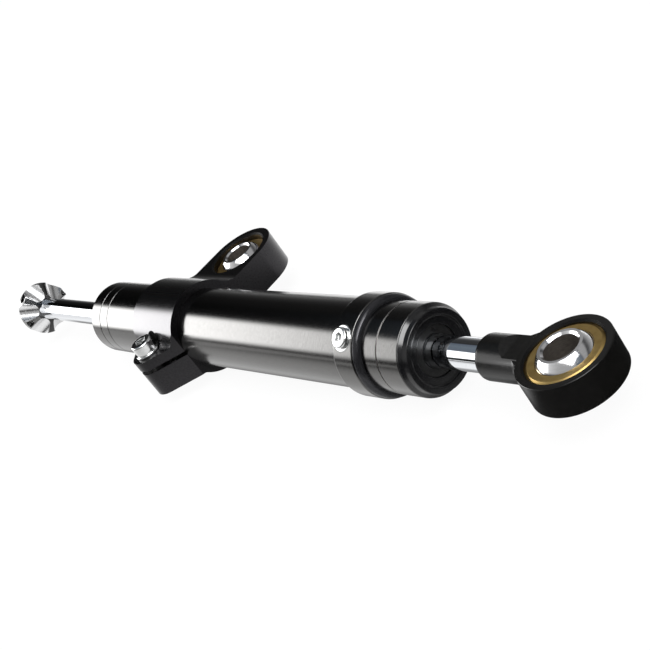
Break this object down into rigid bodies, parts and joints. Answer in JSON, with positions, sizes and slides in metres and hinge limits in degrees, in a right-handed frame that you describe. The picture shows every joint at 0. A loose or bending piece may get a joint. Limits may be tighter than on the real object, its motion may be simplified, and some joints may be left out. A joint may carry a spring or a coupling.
{
  "type": "motorcycle steering damper",
  "caption": "Slim through-rod hydraulic steering damper with a split tube clamp, a spherical rod end and a click adjuster on the rod's tail.",
  "frame": {"origin": "centre of the clamp's spherical bearing, where its bolt holds the damper to the frame of the motorcycle", "axes": "+X along the damper towards the rod end, +Z along the bolt bores of both bearings with the pinch bolt's head up, the damper's axis at negative Y"},
  "size_m": [0.355, 0.0758, 0.0348],
  "materials": {
    "barrel_grey": "hard anodised, satin gloss",
    "black_anodised": "black anodised, satin",
    "rod_chrome": "ground and hard chromed",
    "ball_chrome": "polished",
    "race_brass": "turned",
    "bright_steel": "zinc plated, bright",
    "knob_aluminium": "polished",
    "piston_aluminium": "machined",
    "bush_bronze": "sintered bronze",
    "slide_ring_plastic": "filled PTFE",
    "seal_rubber": "moulded"
  },
  "bodies": {
    "barrel": {"body_tube": "barrel_grey", "front_lock_ring": "black_anodised", "front_gland": "barrel_grey", "nose_cap": "black_anodised", "front_wiper": "seal_rubber", "front_rod_seal": "seal_rubber", "front_rod_bush": "bush_bronze", "front_gland_o_ring": "seal_rubber", "front_bump_ring": "seal_rubber", "rear_lock_ring": "barrel_grey", "rear_cap": "barrel_grey", "rear_wiper": "seal_rubber", "rear_rod_seal": "seal_rubber", "rear_rod_bush": "bush_bronze", "rear_cap_o_ring": "seal_rubber", "rear_bump_ring": "seal_rubber", "bleed_screw": "bright_steel", "bleed_washer": "bright_steel", "clamp_bracket": "black_anodised", "clamp_bolt": "bright_steel", "clamp_washer": "bright_steel", "clamp_race": "race_brass"},
    "frame_ball": {"clamp_ball": "ball_chrome"},
    "slide_ring": {"piston_ring": "slide_ring_plastic"},
    "rod": {"piston_rod": "rod_chrome", "piston": "piston_aluminium", "piston_clips": "bright_steel", "rod_end_eye": "black_anodised", "rod_end_race": "race_brass"},
    "yoke_ball": {"rod_end_ball": "ball_chrome"},
    "adjuster": {"adjuster_knob": "knob_aluminium", "knob_screws": "bright_steel", "detent_plugs": "bright_steel", "detent_springs": "bright_steel", "detent_balls": "ball_chrome"},
    "needle": {"metering_needle": "bright_steel", "needle_o_ring": "seal_rubber"}
  },
  "joints": [
    {"name": "frame_ball_swing", "type": "hinge", "parent": "barrel", "child": "frame_ball", "pos_m": [0, 0, 0], "axis": [0, 0, 1], "continuous": true},
    {"name": "rod_slide", "type": "slide", "parent": "barrel", "child": "slide_ring", "axis": [1, 0, 0], "range_m": [-0.019, 0.075]},
    {"name": "rod_turn", "type": "hinge", "parent": "slide_ring", "child": "rod", "pos_m": [0, -0.0336, 0], "axis": [1, 0, 0], "continuous": true},
    {"name": "yoke_ball_swing", "type": "hinge", "parent": "rod", "child": "yoke_ball", "pos_m": [0.1959, -0.0336, 0], "axis": [0, 0, 1], "continuous": true},
    {"name": "adjuster_turn", "type": "hinge", "parent": "rod", "child": "adjuster", "pos_m": [-0.14, -0.0336, 0], "axis": [1, 0, 0], "range_deg": [-450, 450]},
    {"name": "needle_feed", "type": "slide", "parent": "adjuster", "child": "needle", "axis": [1, 0, 0], "range_m": [-0.00088, 0.00088]}
  ],
  "couplings": [
    {"joint": "needle_feed", "follows": "adjuster_turn", "m_per_rad": 0.00011141}
  ]
}
